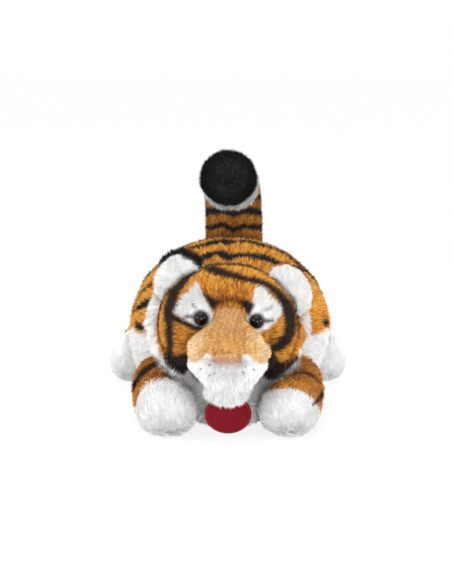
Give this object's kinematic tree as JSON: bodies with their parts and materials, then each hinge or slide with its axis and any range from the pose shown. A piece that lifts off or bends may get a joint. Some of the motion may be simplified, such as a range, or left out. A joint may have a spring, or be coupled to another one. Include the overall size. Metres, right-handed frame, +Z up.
{
  "type": "plush tiger",
  "caption": "Plush tiger lying on its belly: striped orange back, white muzzle, cheeks and paws, glossy eyes, raised tail with a black tuft, and a plain red oval tag at the chest.",
  "frame": {"origin": "on the floor under the middle of the whole toy", "axes": "+Z up; the face looks along -Y and the tail is at +Y; the toy's own left is +X"},
  "size_m": [0.2638, 0.3782, 0.2468],
  "materials": {
    "orange_pile": "long brushed plush pile, orange brown with printed black stripes",
    "white_pile": "long soft white plush pile",
    "tan_pile": "short light tan plush pile",
    "black_pile": "long black plush pile",
    "gusset_cloth": "plush cloth at the neck seam",
    "nose_pad": "smooth pink flock",
    "eye_plastic": "clear-coated dark brown with a black pupil",
    "washer_plastic": "natural white moulded plastic",
    "fibre_filling": "white polyester fibre",
    "tag_fabric": "red woven fabric with a stitched edge, left bare"
  },
  "bodies": {
    "body": {"back_panel_left": "orange_pile", "back_panel_right": "orange_pile", "belly_panel": "white_pile", "body_filling": "fibre_filling", "tag_ribbon": "tag_fabric"},
    "neck": {"neck_gusset": "gusset_cloth"},
    "head": {"face_panel": "orange_pile", "head_back_panel": "orange_pile", "head_filling": "fibre_filling", "eye_left": "eye_plastic", "eye_right": "eye_plastic", "eye_washer_left": "washer_plastic", "eye_washer_right": "washer_plastic", "nose_bridge": "tan_pile", "muzzle": "white_pile", "chin": "white_pile", "nose": "nose_pad", "cheek_ruff_left": "white_pile", "cheek_ruff_right": "white_pile"},
    "ear_left": {"ear_back_left": "black_pile", "ear_lining_left": "white_pile"},
    "ear_right": {"ear_back_right": "black_pile", "ear_lining_right": "white_pile"},
    "foreleg_left": {"foreleg_sleeve_left": "orange_pile", "front_paw_left": "white_pile", "foreleg_filling_left": "fibre_filling"},
    "foreleg_right": {"foreleg_sleeve_right": "orange_pile", "front_paw_right": "white_pile", "foreleg_filling_right": "fibre_filling"},
    "hind_leg_left": {"hind_leg_sleeve_left": "orange_pile", "hind_foot_left": "white_pile", "hind_leg_filling_left": "fibre_filling"},
    "hind_leg_right": {"hind_leg_sleeve_right": "orange_pile", "hind_foot_right": "white_pile", "hind_leg_filling_right": "fibre_filling"},
    "tail": {"tail_sleeve": "orange_pile", "tail_ring": "white_pile", "tail_tuft": "black_pile", "tail_filling": "fibre_filling"},
    "tag": {"tag": "tag_fabric"}
  },
  "joints": [
    {"name": "neck_turn", "type": "hinge", "parent": "body", "child": "neck", "pos_m": [0, -0.09249, 0.104], "axis": [0, 0, 1], "range_deg": [-12, 12], "stiffness_Nm_per_rad": 0.5},
    {"name": "head_nod", "type": "hinge", "parent": "neck", "child": "head", "pos_m": [0, -0.09249, 0.104], "axis": [-1, 0, 0], "range_deg": [0, 12], "stiffness_Nm_per_rad": 0.5},
    {"name": "ear_left_fold", "type": "hinge", "parent": "head", "child": "ear_left", "pos_m": [0.05601, -0.09909, 0.13378], "axis": [0.5, 0, -0.866], "range_deg": [-15, 15], "stiffness_Nm_per_rad": 0.005},
    {"name": "ear_right_fold", "type": "hinge", "parent": "head", "child": "ear_right", "pos_m": [-0.04604, -0.09909, 0.14545], "axis": [0.6691, 0, 0.7431], "range_deg": [-15, 15], "stiffness_Nm_per_rad": 0.005},
    {"name": "foreleg_left_swing", "type": "hinge", "parent": "body", "child": "foreleg_left", "pos_m": [0.066, -0.05525, 0], "axis": [0, 0, 1], "range_deg": [0, 15], "stiffness_Nm_per_rad": 0.2},
    {"name": "foreleg_right_swing", "type": "hinge", "parent": "body", "child": "foreleg_right", "pos_m": [-0.066, -0.05525, 0], "axis": [0, 0, -1], "range_deg": [0, 15], "stiffness_Nm_per_rad": 0.2},
    {"name": "hind_leg_left_swing", "type": "hinge", "parent": "body", "child": "hind_leg_left", "pos_m": [0.08, 0.13072, 0], "axis": [0, 0, 1], "range_deg": [0, 15], "stiffness_Nm_per_rad": 0.2},
    {"name": "hind_leg_right_swing", "type": "hinge", "parent": "body", "child": "hind_leg_right", "pos_m": [-0.08, 0.13072, 0], "axis": [0, 0, -1], "range_deg": [0, 15], "stiffness_Nm_per_rad": 0.2},
    {"name": "tail_sway", "type": "hinge", "parent": "body", "child": "tail", "pos_m": [0.006, 0.15557, 0.1185], "axis": [0, 1, 0], "range_deg": [-15, 15], "stiffness_Nm_per_rad": 0.4},
    {"name": "tag_swing", "type": "hinge", "parent": "body", "child": "tag", "pos_m": [0, -0.13841, 0.0405], "axis": [-1, 0, 0], "range_deg": [-4, 20]}
  ]
}
